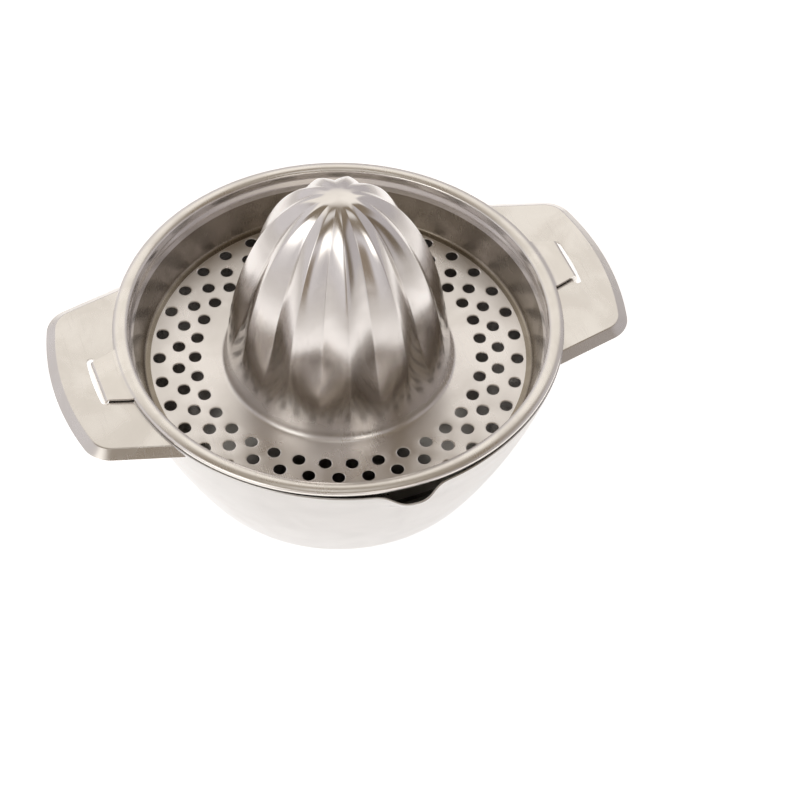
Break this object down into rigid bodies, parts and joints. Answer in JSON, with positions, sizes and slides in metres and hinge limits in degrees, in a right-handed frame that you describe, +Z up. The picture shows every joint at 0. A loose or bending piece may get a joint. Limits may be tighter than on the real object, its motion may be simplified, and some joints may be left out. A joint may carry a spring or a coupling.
{
  "type": "hand citrus juicer",
  "caption": "Stainless-steel hand citrus juicer: a drawn bowl with wing handles and a pouring lip under a lift-off strainer with a ribbed reamer.",
  "frame": {"origin": "centre of the bowl's flat foot, on the surface it stands on", "axes": "+Z up along the bowl and reamer axis, +X towards the right handle, -Y towards the pouring lip"},
  "size_m": [0.1818, 0.1451, 0.1117],
  "materials": {
    "satin_steel": "satin",
    "bright_steel": "semi-bright"
  },
  "bodies": {
    "bowl": {"juice_bowl": "satin_steel"},
    "strainer": {"reamer_strainer": "bright_steel"}
  },
  "joints": [
    {"name": "strainer_lift", "type": "slide", "parent": "bowl", "child": "strainer", "axis": [0, 0, 1], "range_m": [0, 0.07]}
  ]
}
